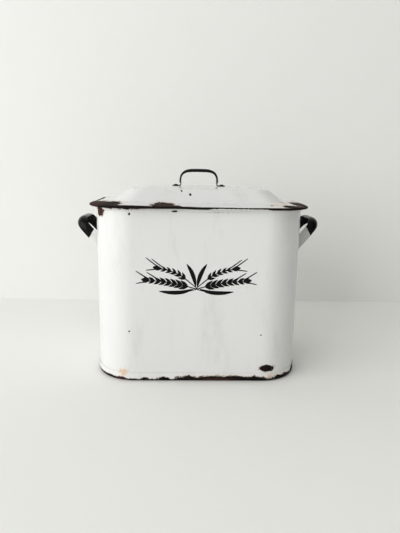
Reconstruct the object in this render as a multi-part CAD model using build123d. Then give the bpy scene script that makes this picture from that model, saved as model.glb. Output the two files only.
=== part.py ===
from build123d import *

import math
import os

import numpy as np

# Enamelled sheet-steel bread bin with a lift-off domed lid.
# Millimetres. The bin stands on z = 0, centred on the Z axis, with its front towards -Y
# and its two side handles on +X and -X.

# ---- sheet metal ----
SHEET = 0.9              # steel sheet with its enamel
SEAM_GAP = 0.1           # between pieces that are seamed, pressed or spot-welded together
HOLE_GAP = 0.1           # rivet holes are larger than the shank by this, all round

# ---- body ----
BODY_LENGTH = 316.0      # X, outside the wall
BODY_DEPTH = 220.0       # Y, outside the wall
BODY_CORNER = 60.0       # plan radius, outside the wall
RIM_HEIGHT = 267.0
HEM_HEIGHT = 6.5         # the rim is folded outwards once
HEM_PROUD = 1.2
HEM_BEND = 0.8           # outside radius under the hem
RIM_FLAT = 0.1           # what the round of the rim leaves flat
LAP_WIDTH = 10.0         # upright lap seam in the middle of the back
LAP_PROUD = 0.5
LAP_END_GAP = 0.5        # from the seam's ends to the skirt and the hem

# ---- base pan, pressed, with its skirt outside the wall ----
SKIRT_HEIGHT = 13.5
PAN_BEND = 4.0           # outside radius between skirt and foot ring
FOOT_RING_WIDTH = 13.0
FLOOR_LIFT = 5.0         # underside of the floor above the foot ring
FLOOR_BEND = 2.0

# ---- lid ----
LID_REST_GAP = 0.3       # from the rim to the lip that rests on it
FLANGE_OVERHANG = 10.5   # past the body wall, all round
FLANGE_WIDTH = 36.0
FLANGE_RISE = 3.5
SLOPE_WIDTH = 24.5
SLOPE_RISE = 19.0
CROWN_WIDTH = 30.0       # the gently rising border of the top
CROWN_RISE = 2.5
TOP_EDGE = 6.0           # outermost stretch of the level top
FOOT_FILLET = 8.0
SHOULDER_FILLET = 12.0
CROWN_FILLET = 60.0
SLOPE_FOOT_CORNER = 34.5
SHOULDER_CORNER = 24.0
TOP_CORNER = 12.0
ARC_STEPS = 4            # loft sections along each arc of the lid's profile
BEAD_RADIUS = 1.7        # the lid's edge is curled under round a wire
WIRE_RADIUS = 0.9
WIRE_GAP = 0.1

# ---- collar that locates the lid ----
COLLAR_SHEET = 0.8
COLLAR_DEPTH = 14.0
COLLAR_GAP = 1.5         # to the inside of the wall
LIP_PAST_HEM = 1.8

# ---- strap handles ----
STRAP = 1.5              # strap thickness with its enamel
SIDE_POWER = 5           # superellipse power: straight legs, round corners, nearly straight bar
TOP_POWER = 4.2          # rounder shoulders on the lid
LOOP_STEPS = 24
WIDENING = 5             # powers by which a strap widens and deepens from leg to bar
DEEPENING = 3
RIGHT_TILT = 50.0        # plane of a side handle above the horizontal, degrees
LEFT_TILT = 47.6         # bent by hand, so not quite the same
SIDE_STAND = 37.7        # how far a grip stands out from the wall
SIDE_HALF_SPAN = 40.0
SIDE_ROOT_DROP = 62.5    # from the rim to where the middle of a leg meets the wall
SIDE_LEG = (16.5, 1.2)   # width and gutter depth of a leg
SIDE_BAR = (21.0, 8.5)   # and of the grip
SIDE_TAB = 15.0
SIDE_TAB_CORNER = 4.0
SIDE_RIVET_PITCH = 12.0
TOP_HALF_SPAN = 30.0
TOP_HEIGHT = 27.8        # of the lid handle, above the lid
TOP_LEG = (13.5, 2.1)
TOP_BAR = (13.5, 5.0)
TOP_TAB = 11.0
TOP_TAB_CORNER = 4.0

# ---- rivets ----
SHANK_RADIUS = 1.9
HEAD_RADIUS = 3.6
HEAD_HEIGHT = 1.6
HEAD_EDGE = 1.3
TAIL_RADIUS = 3.0
TAIL_HEIGHT = 1.0

# ---- heights and outlines that follow from the sizes above ----
BODY = (BODY_LENGTH, BODY_DEPTH, BODY_CORNER)
LID_OVERHANG_OUTLINE = FLANGE_OVERHANG - BEAD_RADIUS
LIP_OVERHANG = HEM_PROUD + LIP_PAST_HEM
LIP_BOTTOM = RIM_HEIGHT + LID_REST_GAP
LIP_TOP = LIP_BOTTOM + COLLAR_SHEET
SIDE_ROOT_HEIGHT = RIM_HEIGHT - SIDE_ROOT_DROP
FLANGE_PITCH = FLANGE_RISE / (FLANGE_WIDTH - BEAD_RADIUS)
LIP_INSET = LID_OVERHANG_OUTLINE - LIP_OVERHANG
EDGE_TOP = LIP_TOP + SEAM_GAP + SHEET - FLANGE_PITCH * LIP_INSET
FOOT_TOP = EDGE_TOP + FLANGE_RISE
SHOULDER_TOP = FOOT_TOP + SLOPE_RISE
LID_TOP = SHOULDER_TOP + CROWN_RISE


def grown(outline, amount):
    """A rounded-rectangle outline (length, depth, corner) moved outwards by an amount."""
    length, depth, corner = outline
    return length + 2 * amount, depth + 2 * amount, corner + amount


def slab(outline, bottom, top):
    """A rounded-rectangle block between two heights."""
    return Pos(0, 0, bottom) * extrude(RectangleRounded(*outline), top - bottom)


def round_ends(part, end, radius):
    """Fillet the edges round the lowest (0) or highest (-1) face of a block."""
    return fillet(part.edges().group_by(Axis.Z)[end], radius)


def side_rivet_places():
    """(y, z) of the four rivets of one side handle."""
    inset = SIDE_HALF_SPAN - STRAP - SIDE_TAB / 2
    return [(sy * inset, SIDE_ROOT_HEIGHT + sz * SIDE_RIVET_PITCH / 2)
            for sy in (-1, 1) for sz in (-1, 1)]


def top_rivet_places():
    """x of the two rivets of the lid handle."""
    return [side * (TOP_HALF_SPAN + TOP_LEG[1] + TOP_TAB / 2) for side in (-1, 1)]


def body_wall():
    bottom = PAN_BEND
    wall = slab(BODY, bottom, RIM_HEIGHT)
    hem = slab(grown(BODY, HEM_PROUD), RIM_HEIGHT - HEM_HEIGHT, RIM_HEIGHT)
    lap = Box(
        LAP_WIDTH, 2 * LAP_PROUD, RIM_HEIGHT - HEM_HEIGHT - SKIRT_HEIGHT - 2 * LAP_END_GAP,
        align=(Align.CENTER, Align.CENTER, Align.MIN))
    inside = slab(grown(BODY, -SHEET), bottom, RIM_HEIGHT)
    wall = wall + round_ends(hem, 0, HEM_BEND) - inside
    wall = round_ends(wall, -1, (HEM_PROUD + SHEET - RIM_FLAT) / 2)
    wall += Pos(0, BODY_DEPTH / 2, SKIRT_HEIGHT + LAP_END_GAP) * lap
    for y, z in side_rivet_places():
        wall -= Pos(0, y, z) * Rot(0, 90, 0) * Cylinder(SHANK_RADIUS + HOLE_GAP, 2 * BODY_LENGTH)
    return wall


def base_pan():
    outside = grown(BODY, SEAM_GAP + SHEET)
    pan = round_ends(slab(outside, 0, SKIRT_HEIGHT), 0, PAN_BEND)
    pan -= round_ends(slab(grown(BODY, SEAM_GAP), SHEET, 2 * SKIRT_HEIGHT), 0, PAN_BEND - SHEET)
    platform = slab(grown(outside, -FOOT_RING_WIDTH), 0, FLOOR_LIFT + SHEET)
    recess = slab(grown(outside, -FOOT_RING_WIDTH - SHEET), 0, FLOOR_LIFT)
    pan += round_ends(platform, -1, FLOOR_BEND)
    return pan - round_ends(recess, -1, FLOOR_BEND - SHEET)


def lid_profile():
    """The lid's upper surface from its edge to its top, as (inset from the edge, height)."""
    line = FilletPolyline(
        (BEAD_RADIUS, EDGE_TOP),
        (FLANGE_WIDTH, FOOT_TOP),
        (FLANGE_WIDTH + SLOPE_WIDTH, SHOULDER_TOP),
        (FLANGE_WIDTH + SLOPE_WIDTH + CROWN_WIDTH, LID_TOP),
        (FLANGE_WIDTH + SLOPE_WIDTH + CROWN_WIDTH + TOP_EDGE, LID_TOP),
        radius=[FOOT_FILLET, SHOULDER_FILLET, CROWN_FILLET])
    points = []
    for edge in line.edges():
        steps = 1 if edge.geom_type == GeomType.LINE else ARC_STEPS
        points += [edge @ (step / steps) for step in range(steps)]
    return [(point.X, point.Y) for point in points + [line @ 1]]


def lid_corner(inset):
    """Plan corner radius of the lid at a distance in from its edge."""
    insets = np.cumsum([0, FLANGE_WIDTH, SLOPE_WIDTH, CROWN_WIDTH])
    edge_corner = BODY_CORNER + FLANGE_OVERHANG
    return float(np.interp(inset, insets, [edge_corner, SLOPE_FOOT_CORNER, SHOULDER_CORNER, TOP_CORNER]))


def lid_block():
    """Everything under the lid's upper surface, down to one sheet below its edge."""
    stations = lid_profile()
    stations.insert(0, (BEAD_RADIUS, EDGE_TOP - SHEET))
    sections = []
    for inset, height in stations:
        length, depth, _ = grown(BODY, FLANGE_OVERHANG - inset)
        sections.append(Pos(0, 0, height) * RectangleRounded(length, depth, lid_corner(inset)))
    return loft(sections, ruled=True)


def edge_ring(radius):
    """A round bar along the curled edge of the lid."""
    outline = grown(BODY, LID_OVERHANG_OUTLINE)
    path = Pos(0, 0, EDGE_TOP - BEAD_RADIUS) * RectangleRounded(*outline).wire()
    return sweep(Plane(origin=path @ 0, z_dir=path % 0) * Circle(radius), path=path)


def lid_pan():
    block = lid_block()
    lid = block - Pos(0, 0, -SHEET) * block
    lid = lid + edge_ring(BEAD_RADIUS) - edge_ring(WIRE_RADIUS + WIRE_GAP)
    for x in top_rivet_places():
        lid -= Pos(x, 0, LID_TOP) * Cylinder(SHANK_RADIUS + HOLE_GAP, 4 * SHEET)
    return lid


def lid_collar():
    outside = grown(BODY, -SHEET - COLLAR_GAP)
    skirt = slab(outside, LIP_TOP - COLLAR_DEPTH, LIP_TOP)
    lip = slab(grown(BODY, LIP_OVERHANG), LIP_BOTTOM, LIP_TOP)
    return skirt + lip - slab(grown(outside, -COLLAR_SHEET), LIP_TOP - COLLAR_DEPTH, LIP_TOP)


def gutter_section(centre, across, outward, width, depth):
    """Outline of a strap bowed outwards like a gutter."""
    half, skin = across * (width / 2), outward * STRAP
    left, right, crown = centre - half, centre + half, centre + outward * depth
    return Wire([
        Line(left - skin, left),
        ThreePointArc(left, crown, right),
        Line(right, right - skin),
        ThreePointArc(right - skin, crown - skin, left - skin)])


def strap_loop(origin, span, reach, half_span, height, root, leg, bar, power):
    """A strap bent into a loop over a superellipse, running past its root by a length."""
    across = span.cross(reach)
    flat = [(-half_span, -root, 0)]
    for step in range(LOOP_STEPS + 1):
        turn = math.pi * step / LOOP_STEPS
        side = math.copysign(abs(math.cos(turn)) ** (2 / power), -math.cos(turn))
        flat.append((half_span * side, height * math.sin(turn) ** (2 / power), math.sin(turn)))
    flat.append((half_span, -root, 0))
    wires = []
    for u, v, swell in flat:
        slope_u = math.copysign(abs(u / half_span) ** (power - 1) / half_span, u)
        slope_v = (max(v, 0) / height) ** (power - 1) / height
        outward = (span * slope_u + reach * slope_v).normalized()
        width = leg[0] + (bar[0] - leg[0]) * swell ** WIDENING
        depth = leg[1] + (bar[1] - leg[1]) * swell ** DEEPENING
        wires.append(gutter_section(origin + span * u + reach * v, across, outward, width, depth))
    return Solid.make_loft(wires, ruled=True)


def side_handle(tilt_degrees):
    """A handle on +X: its legs end on the wall in tabs bent towards each other."""
    tilt = math.radians(tilt_degrees)
    wall_x = BODY_LENGTH / 2
    width, depth = SIDE_BAR
    grip_radius = (width ** 2 / 4 + depth ** 2) / (2 * depth)
    reach = (SIDE_STAND - grip_radius) / math.cos(tilt) + grip_radius - depth
    root = SIDE_LEG[0] / 2 * math.tan(tilt) + SHEET
    loop = strap_loop(
        Vector(wall_x, 0, SIDE_ROOT_HEIGHT), Vector(0, 1, 0), Vector(math.cos(tilt), 0, math.sin(tilt)),
        SIDE_HALF_SPAN, reach, root, SIDE_LEG, SIDE_BAR, SIDE_POWER)
    behind = Pos(wall_x, 0, SIDE_ROOT_HEIGHT) * Box(
        4 * root, 4 * SIDE_HALF_SPAN, 8 * root, align=(Align.MAX, Align.CENTER, Align.CENTER))
    handle = Part() + loop - behind
    tab = Box(STRAP, SIDE_TAB, SIDE_LEG[0] / math.cos(tilt), align=(Align.MIN, Align.MAX, Align.CENTER))
    tab = fillet(tab.edges().filter_by(Axis.X).group_by(Axis.Y)[0], SIDE_TAB_CORNER)
    tab = Pos(wall_x, SIDE_HALF_SPAN - STRAP / 2, SIDE_ROOT_HEIGHT) * tab
    handle = handle + tab + mirror(tab, Plane.XZ)
    for y, z in side_rivet_places():
        handle -= Pos(wall_x, y, z) * Rot(0, 90, 0) * Cylinder(SHANK_RADIUS + HOLE_GAP, 4 * STRAP)
    return handle


def lid_handle():
    """Its legs end on the lid in tabs bent away from each other."""
    loop = strap_loop(
        Vector(0, 0, LID_TOP + STRAP), Vector(1, 0, 0), Vector(0, 0, 1),
        TOP_HALF_SPAN, TOP_HEIGHT - TOP_BAR[1] - STRAP, STRAP, TOP_LEG, TOP_BAR, TOP_POWER)
    handle = Part() + loop
    tab = Box(TOP_TAB + TOP_LEG[1], TOP_LEG[0], STRAP, align=(Align.MIN, Align.CENTER, Align.MIN))
    tab = fillet(tab.edges().filter_by(Axis.Z).group_by(Axis.X)[-1], TOP_TAB_CORNER)
    tab = Pos(TOP_HALF_SPAN, 0, LID_TOP) * tab
    handle = handle + tab + mirror(tab, Plane.YZ)
    for x in top_rivet_places():
        handle -= Pos(x, 0, LID_TOP) * Cylinder(SHANK_RADIUS + HOLE_GAP, 4 * STRAP)
    return handle


def rivet():
    """A rivet along +Z that clamps a strap tab, z = 0 to STRAP, on the sheet under it."""
    head = Cylinder(HEAD_RADIUS, HEAD_HEIGHT, align=(Align.CENTER, Align.CENTER, Align.MIN))
    head = Pos(0, 0, STRAP) * round_ends(head, -1, HEAD_EDGE)
    shank = Cylinder(SHANK_RADIUS, STRAP + SHEET, align=(Align.CENTER, Align.CENTER, Align.MIN))
    tail = Cylinder(TAIL_RADIUS, TAIL_HEIGHT, align=(Align.CENTER, Align.CENTER, Align.MAX))
    return head + Pos(0, 0, -SHEET) * (shank + tail)


def side_rivets():
    stock = Rot(0, 90, 0) * rivet()
    return Compound([Pos(BODY_LENGTH / 2, y, z) * stock for y, z in side_rivet_places()])


def lid_handle_rivets():
    return Compound([Pos(x, 0, LID_TOP) * rivet() for x in top_rivet_places()])


handle_right = side_handle(RIGHT_TILT)
handle_left = mirror(side_handle(LEFT_TILT), Plane.YZ)
handle_right_rivets = side_rivets()
nodes = {
    "body_wall": body_wall(),
    "base_pan": base_pan(),
    "handle_right": handle_right,
    "handle_left": handle_left,
    "handle_right_rivets": handle_right_rivets,
    "handle_left_rivets": mirror(handle_right_rivets, Plane.YZ),
    "lid_pan": lid_pan(),
    "lid_edge_wire": edge_ring(WIRE_RADIUS),
    "lid_collar": lid_collar(),
    "lid_handle": lid_handle(),
    "lid_handle_rivets": lid_handle_rivets(),
}
os.makedirs("parts", exist_ok=True)
for name, shape in nodes.items():
    export_step(shape, f"parts/{name}.step")
    print(name, "written")
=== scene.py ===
import math
from functools import partialmethod

import bmesh
import bpy
import numpy as np
from bpy.props import FloatProperty, FloatVectorProperty, IntProperty, PointerProperty
from bpy.types import Operator, Panel, PropertyGroup
from mathutils import Matrix, Vector
from mathutils.bvhtree import BVHTree


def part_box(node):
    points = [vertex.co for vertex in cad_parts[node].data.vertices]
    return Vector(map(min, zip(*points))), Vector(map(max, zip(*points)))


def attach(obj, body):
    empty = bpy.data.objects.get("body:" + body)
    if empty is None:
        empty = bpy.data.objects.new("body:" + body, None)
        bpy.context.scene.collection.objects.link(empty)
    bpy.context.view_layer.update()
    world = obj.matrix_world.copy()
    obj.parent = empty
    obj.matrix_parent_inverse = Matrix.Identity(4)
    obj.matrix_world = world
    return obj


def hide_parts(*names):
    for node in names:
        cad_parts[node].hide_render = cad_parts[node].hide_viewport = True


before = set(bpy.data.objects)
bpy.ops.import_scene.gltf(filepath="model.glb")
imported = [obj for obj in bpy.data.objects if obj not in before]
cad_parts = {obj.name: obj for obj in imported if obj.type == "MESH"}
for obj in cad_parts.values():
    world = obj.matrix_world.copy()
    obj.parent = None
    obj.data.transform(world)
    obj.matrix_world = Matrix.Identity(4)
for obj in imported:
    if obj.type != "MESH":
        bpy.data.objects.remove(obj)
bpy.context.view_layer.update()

bl_info = {
    "name": "Enamel Bread Bin",
    "version": (1, 0, 0),
    "blender": (4, 5, 0),
    "location": "View3D > Sidebar > Bread Bin",
    "description": "Makes an old enamelled steel bread bin with a lift-off lid and strap handles",
    "category": "Object",
}

# The frame's own sizes, which the defaults below start from.
WALL_LOW, WALL_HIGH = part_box("body_wall")
_, PAN_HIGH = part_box("base_pan")
_, LID_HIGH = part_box("lid_pan")
PIN_LOW, PIN_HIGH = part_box("handle_right_rivets")
KNOB_LOW, KNOB_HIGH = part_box("lid_handle")
HEM_PROUD = 0.0012


# ---------------------------------------------------------------- sizes and colours

def metres(name, description, default):
    """A length that a user can change."""
    return FloatProperty(name=name, description=description, default=default, unit="LENGTH", precision=5)


def degrees(name, description, default):
    """An angle that a user can change."""
    return FloatProperty(
        name=name, description=description, default=math.radians(default), subtype="ANGLE")


def colour(name, description, default):
    """A colour that a user can change."""
    return FloatVectorProperty(
        name=name, description=description, default=default, subtype="COLOR", size=3, min=0.0, max=1.0)


class BodySizes(PropertyGroup):
    length: metres("Length", "Outside the wall, left to right", WALL_HIGH.x * 2 - 2 * HEM_PROUD)
    depth: metres("Depth", "Outside the wall, front to back", -WALL_LOW.y * 2 - 2 * HEM_PROUD)
    corner: metres("Corner", "Plan radius of the wall's corners", 0.060)
    rim: metres("Rim", "Height of the rim", WALL_HIGH.z)
    foot: metres("Foot", "Height of the wall's lower edge", WALL_LOW.z)
    sheet: metres("Sheet", "Thickness of the enamelled sheet", 0.0009)
    hem: metres("Hem", "Height of the folded rim", 0.0065)
    hem_proud: metres("Hem proud", "How far the hem stands out of the wall", HEM_PROUD)
    skirt: metres("Skirt", "Height of the base pan's skirt", PAN_HIGH.z)
    pan_bend: metres("Pan bend", "Radius between skirt and foot ring", 0.004)
    ring: metres("Foot ring", "Width of the ring that the bin stands on", 0.013)
    floor_lift: metres("Floor lift", "Underside of the floor above the ring", 0.005)
    dent: metres("Dents", "How far the old wall waves in and out", 0.0007)
    lap: metres("Lap", "Width of the seam up the back", 0.010)


class LidSizes(PropertyGroup):
    overhang: metres("Overhang", "Flange past the wall", LID_HIGH.x - WALL_HIGH.x + HEM_PROUD)
    bead: metres("Bead", "Radius of the curled edge", 0.0017)
    flange: metres("Flange", "Width of the flange", 0.036)
    flange_rise: metres("Flange rise", "From the edge to the foot of the dome", 0.0035)
    slope: metres("Slope", "Width of the dome's slope, in plan", 0.0245)
    slope_rise: metres("Slope rise", "Height of the dome's slope", 0.019)
    crown: metres("Crown", "Width of the border of the top", 0.030)
    crown_rise: metres("Crown rise", "How far the top is crowned", 0.0025)
    foot_corner: metres("Foot corner", "Plan radius at the foot of the slope", 0.0345)
    shoulder_corner: metres("Shoulder corner", "Plan radius at the shoulder", 0.024)
    top_corner: metres("Top corner", "Plan radius of the level top", 0.012)
    waver: metres("Waver", "How far the old flange bends up and down", 0.0005)


class HandleSizes(PropertyGroup):
    strap: metres("Strap", "Thickness of the strap", 0.0015)
    right_tilt: degrees("Right tilt", "Right loop above the horizontal", 50.0)
    right_reach: metres("Right reach", "Right loop's length along its tilted plane", 0.044185)
    left_tilt: degrees("Left tilt", "Left loop above the horizontal", 47.6)
    left_reach: metres("Left reach", "Left loop's length along its tilted plane", 0.042224)
    half_span: metres("Half span", "From the middle to a leg of a side loop", 0.040)
    root: metres("Root", "Height where the middle of a leg meets the wall", (PIN_LOW.z + PIN_HIGH.z) / 2)
    leg_width: metres("Leg width", "Strap width at a side leg", 0.0165)
    leg_bow: metres("Leg bow", "Gutter depth at a side leg", 0.0012)
    grip_width: metres("Grip width", "Strap width at the grip", 0.021)
    grip_bow: metres("Grip bow", "Gutter depth at the grip", 0.0085)
    tab: metres("Tab", "Length of the tabs on the wall", 0.015)
    top_half_span: metres("Lid half span", "From the middle to a leg of the lid handle", 0.030)
    top_width: metres("Lid strap width", "Width of the lid handle's strap", KNOB_HIGH.y - KNOB_LOW.y)
    top_leg_bow: metres("Lid leg bow", "Gutter depth at a leg of the lid handle", 0.0021)
    top_bar_bow: metres("Lid bar bow", "Gutter depth at its bar", 0.0050)
    rivet: metres("Rivet", "Radius of a rivet's head", 0.0036)
    pitch: metres("Pitch", "Between the two rivets of a side tab", 0.012)


class SprigSizes(PropertyGroup):
    size: FloatProperty(
        name="Size", description="Scale of the whole pair of sprigs", default=1.0, min=0.1, max=2.0)
    height: metres("Height", "Middle of the sprigs above the table", 0.1635)
    shift: metres("Shift", "Middle of the sprigs to the right of the bin's middle", -0.0035)
    pairs: IntProperty(name="Pairs", description="Pairs of grains in a long ear", default=8, min=2, max=30)
    grain: metres("Grain", "Length of a grain", 0.0150)
    stem: metres("Stem", "Thickness of a stem", 0.0017)
    leaf: metres("Leaf", "Width of a leaf", 0.0060)
    relief: metres("Relief", "Thickness of the fired black over the white", 0.00022)


class Finish(PropertyGroup):
    white: colour("White", "White enamel", (0.725, 0.727, 0.717))
    black: colour("Black", "Black enamel", (0.0035, 0.0034, 0.0037))
    ground: colour("Ground", "Dark first coat, bare where the white has chipped", (0.0060, 0.0048, 0.0045))
    rust: colour("Rust", "Old brown rust", (0.042, 0.019, 0.014))
    stain: colour("Stain", "Yellow bloom round a chip", (0.66, 0.40, 0.19))
    steel: colour("Steel", "Bare wire", (0.32, 0.30, 0.28))
    floor: colour("Floor", "Table top", (0.90, 0.90, 0.875))
    wall: colour("Backdrop", "Wall behind the table", (0.81, 0.81, 0.79))


class BreadBin(PropertyGroup):
    body: PointerProperty(type=BodySizes)
    lid: PointerProperty(type=LidSizes)
    handles: PointerProperty(type=HandleSizes)
    sprig: PointerProperty(type=SprigSizes)
    finish: PointerProperty(type=Finish)


# ---------------------------------------------------------------- node trees

class Value:
    """A node's output. Python's operators on it add Math nodes."""

    def __init__(self, graph, socket):
        self.graph, self.socket = graph, socket

    def maths(self, operation, *others):
        return self.graph.node("ShaderNodeMath", dict(enumerate((self, *others))), operation=operation)

    __add__ = __radd__ = partialmethod(maths, "ADD")
    __sub__ = partialmethod(maths, "SUBTRACT")
    __mul__ = __rmul__ = partialmethod(maths, "MULTIPLY")
    __pow__ = partialmethod(maths, "POWER")
    __abs__ = partialmethod(maths, "ABSOLUTE")
    root = partialmethod(maths, "SQRT")
    most = partialmethod(maths, "MAXIMUM")
    least = partialmethod(maths, "MINIMUM")

    def __rsub__(self, other):
        return self.graph.node("ShaderNodeMath", {0: other, 1: self}, operation="SUBTRACT")

    def __neg__(self):
        return self * -1.0

    def ramp(self, low, high, first=0.0, last=1.0):
        """first before low and last past high, with a soft step between; high may be the lower one."""
        feeds = dict(enumerate((self, low, high, first, last)))
        return self.graph.node("ShaderNodeMapRange", feeds, interpolation_type="SMOOTHSTEP")


class Graph:
    """A node tree that is built a node at a time."""

    def __init__(self, tree):
        self.tree = tree

    def node(self, kind, feeds=None, out=0, **settings):
        """Add a node, set it up, feed its sockets with numbers or links, and return one output."""
        node = self.tree.nodes.new(kind)
        for key, value in settings.items():
            setattr(node, key, value)
        for key, value in (feeds or {}).items():
            if isinstance(value, Value):
                self.tree.links.new(value.socket, node.inputs[key])
            else:
                node.inputs[key].default_value = value
        return Value(self, node.outputs[out])

    def vector(self, operation, *values, out=0):
        return self.node("ShaderNodeVectorMath", dict(enumerate(values)), out, operation=operation)

    def combined(self, *parts):
        """A vector from its parts."""
        return self.node("ShaderNodeCombineXYZ", dict(enumerate(parts)))

    def noise_at(self, where, scale, detail, rough):
        feeds = {"Vector": where, "Scale": scale, "Detail": detail, "Roughness": rough}
        return self.node("ShaderNodeTexNoise", feeds)

    def split(self, vector):
        """The three parts of a vector."""
        first = self.node("ShaderNodeSeparateXYZ", {0: vector})
        return [Value(self, socket) for socket in first.socket.node.outputs]


class Shader(Graph):
    """The nodes of one material."""

    def __init__(self, name):
        self.material = bpy.data.materials.new(name)
        self.material.use_nodes = True
        super().__init__(self.material.node_tree)
        self.tree.nodes.clear()
        self.finish = bpy.context.scene.bread_bin.finish
        self.place = self.node("ShaderNodeTexCoord", out="Object")
        self.x, self.y, self.z = self.split(self.place)

    def noise(self, scale, detail=3.0, rough=0.55, stretch=None):
        """Noise from 0 to 1; scale is in features per metre."""
        where = self.place if stretch is None else self.vector("MULTIPLY", self.place, stretch)
        return self.noise_at(where, scale, detail, rough)

    def blend(self, factor, first, second):
        """Mix two colours."""
        feeds = {0: factor, 6: rgba(first), 7: rgba(second)}
        return self.node("ShaderNodeMix", feeds, 2, data_type="RGBA")

    def spot(self, mark):
        """1 in the middle of an oval mark, 0 at its edge and negative outside."""
        centre, radii = [k * MM for k in mark[:3]], [k * MM for k in mark[3:]]
        offset = self.vector("SUBTRACT", self.place, centre)
        return 1.0 - self.vector("LENGTH", self.vector("DIVIDE", offset, radii), out="Value")

    def inside_outline(self, length, depth, corner):
        """Distance in from a rounded-rectangle outline, seen from above."""
        past_x = (abs(self.x) - (length / 2 - corner)).most(0.0)
        past_y = (abs(self.y) - (depth / 2 - corner)).most(0.0)
        return corner - (past_x * past_x + past_y * past_y).root()

    def bump(self, height, depth):
        """A normal from a height, of which one unit is depth metres."""
        return self.node("ShaderNodeBump", {"Distance": depth, "Height": height})

    def surface(self, tint, roughness, normal, shine=0.5, metallic=0.0):
        """One Principled shader. shine is its specular level."""
        return self.node("ShaderNodeBsdfPrincipled", {
            "Base Color": tint, "Roughness": roughness, "Metallic": metallic,
            "Specular IOR Level": shine, "Normal": normal})

    def either(self, factor, first, second):
        """Mix two surfaces."""
        return self.node("ShaderNodeMixShader", {0: factor, 1: first, 2: second})

    def close(self, surface):
        """End in the surface and return the material."""
        output = self.tree.nodes.new("ShaderNodeOutputMaterial")
        self.tree.links.new(surface.socket, output.inputs["Surface"])
        return self.material


class Weave(Graph):
    """A Geometry Nodes tree. Its inputs are a geometry, some named values and a material."""

    def __init__(self, name, floats, **others):
        super().__init__(bpy.data.node_groups.new(name, "GeometryNodeTree"))
        kinds = {"Geometry": "Geometry", **dict.fromkeys(floats, "Float"), **others, "Material": "Material"}
        for label, kind in kinds.items():
            self.tree.interface.new_socket(label, in_out="INPUT", socket_type="NodeSocket" + kind)
        self.tree.interface.new_socket("Geometry", in_out="OUTPUT", socket_type="NodeSocketGeometry")
        outputs = self.tree.nodes.new("NodeGroupInput").outputs
        self.geometry, *self.values, self.material = [Value(self, outputs[label]) for label in kinds]

    def step(self, kind, feeds=None, **settings):
        """Add a geometry node."""
        return self.node("GeometryNode" + kind, feeds, **settings)

    def joined(self, pieces):
        """One geometry from several."""
        join = self.tree.nodes.new("GeometryNodeJoinGeometry")
        for piece in pieces:
            self.tree.links.new(piece.socket, join.inputs[0])
        return Value(self, join.outputs[0])

    def close(self, geometry):
        """End in real geometry with its material."""
        real = self.step("RealizeInstances", {0: geometry})
        painted = self.step("SetMaterial", {0: real, "Material": self.material})
        self.tree.links.new(painted.socket, self.tree.nodes.new("NodeGroupOutput").inputs[0])
        return self

    def grow(self, obj, values):
        """Run the tree on an object and return the plain mesh."""
        modifier = obj.modifiers.new("weave", "NODES")
        modifier.node_group = self.tree
        for item in self.tree.interface.items_tree:
            if item.in_out == "INPUT" and item.name in values:
                modifier[item.identifier] = values[item.name]
        return baked(obj)


def rgba(value):
    """A colour as four numbers; a colour from a node stays as it is."""
    return value if isinstance(value, Value) else (*value, 1.0)


# ---------------------------------------------------------------- materials

GLOSS = 0.12
SOILED = (0.42, 0.41, 0.385)
BLACK_SHINE = 0.10


def enamel(name, chips=(), stains=(), rusty=(), wear_and_shade=None, pits=0.2):
    """Fired enamel: a slightly wavy gloss, chipped to a dark first coat and rust in the given places.

    chips, stains and rusty are lists of marks; in the rusty ones the bare metal is brown all over.
    worn is a function of the shader that gives a value which is 0 where the enamel starts to be missing, from
    wear, and on the wall and base also where the dark coat is laid as painted shadow. pits is the share of
    small spots that are open.
    """
    shader = Shader(name)
    finish, white = shader.finish, shader.finish.white
    coarse, fine = shader.noise(110.0, 4.0, 0.65), shader.noise(560.0, 3.0, 0.6)
    ragged = (coarse - 0.5) * 1.6 + (fine - 0.5) * 1.7
    feeds = {"Vector": shader.place, "Scale": 62.0, "Randomness": 1.0}
    cells = shader.node("ShaderNodeTexVoronoi", feeds, "Distance")
    pick = shader.noise(38.0, 1.0, 0.4).ramp(1.0 - pits, 1.05 - pits)
    missing = (0.045 * pick - cells) * 14.0
    for chip in chips:
        missing = missing.most(shader.spot(chip) + ragged * 0.7)
    if wear_and_shade is not None:
        missing = missing.most(wear_and_shade(shader, ragged))
    # missing and bare hold the chips and wear, and on the wall and base also the painted shadow from the wear
    # function.
    bare = missing.ramp(-0.03, 0.07)
    bloom = missing.ramp(-0.45, 0.02)
    for stain in stains:
        bloom = bloom.most((shader.spot(stain) + ragged * 1.5).ramp(-0.1, 0.9) * 1.5)
    cloud = shader.noise(7.0, 3.0, 0.5)
    grime = shader.noise(26.0, 5.0, 0.7, (1.0, 1.0, 0.30)).ramp(0.50, 0.76)
    scuff = shader.noise(85.0, 6.0, 0.78, (1.0, 1.0, 0.35)).ramp(0.60, 0.76)
    tint = shader.blend(cloud * 0.10, white, tuple(c * k for c, k in zip(white, (0.88, 0.88, 0.86))))
    tint = shader.blend(grime * 0.24 + scuff * 0.30, tint, SOILED)
    tint = shader.blend(bloom * bloom * 0.34, tint, finish.stain)
    rough = GLOSS + cloud * 0.06 + bloom * 0.08 + scuff * 0.10
    peel = shader.noise(140.0, 2.0, 0.4) * 0.10 + shader.noise(38.0, 1.0, 0.4) * 0.40
    normal = shader.bump(peel + (1.0 - bare) * 1.6 + fine * bare * 0.9, 0.00022)
    grain = shader.noise(330.0, 4.0, 0.7)
    rust = grain.ramp(0.44, 0.70) * shader.noise(60.0, 2.0, 0.5).ramp(0.42, 0.66) * 0.7
    for place in rusty:
        rust = rust.most((shader.spot(place) + ragged * 0.6).ramp(0.0, 0.25) * grain.ramp(0.25, 0.5))
    metal = shader.surface(shader.blend(rust, finish.ground, finish.rust), 0.75, normal, shine=0.08)
    return shader.close(shader.either(bare, shader.surface(tint, rough, normal), metal))


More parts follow.
